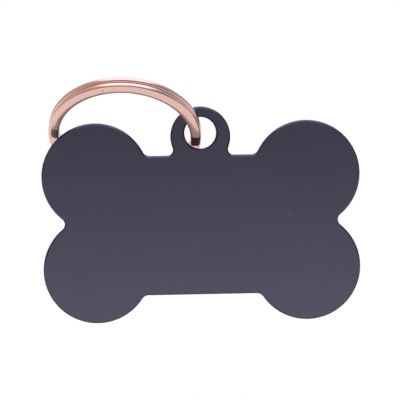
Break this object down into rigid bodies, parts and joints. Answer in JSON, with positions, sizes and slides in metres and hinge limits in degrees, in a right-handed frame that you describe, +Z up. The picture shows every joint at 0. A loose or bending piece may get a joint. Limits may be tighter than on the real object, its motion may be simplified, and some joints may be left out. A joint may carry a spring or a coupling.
{
  "type": "pet id tag",
  "caption": "Bone-shaped metal pet id tag with a blank satin face, hanging by the hole in its tab from a copper-plated split ring that goes on a collar.",
  "frame": {"origin": "the middle of the split ring's loop, where a collar's own ring goes through", "axes": "+X along the bone, to the right of someone who faces the tag, +Y out of the tag's back, +Z up"},
  "size_m": [0.0381, 0.0142, 0.0296],
  "materials": {
    "anodised_plate": "satin anodised, dark violet grey",
    "plated_wire": "polished copper plating on spring steel"
  },
  "bodies": {
    "ring": {"split_ring": "plated_wire"},
    "tag": {"tag_plate": "anodised_plate"}
  },
  "joints": [
    {"name": "tag_swing", "type": "hinge", "parent": "ring", "child": "tag", "pos_m": [0.00898, -0.00059, -0.00003], "axis": [-1, 0, 0], "range_deg": [0, 87.4]}
  ]
}
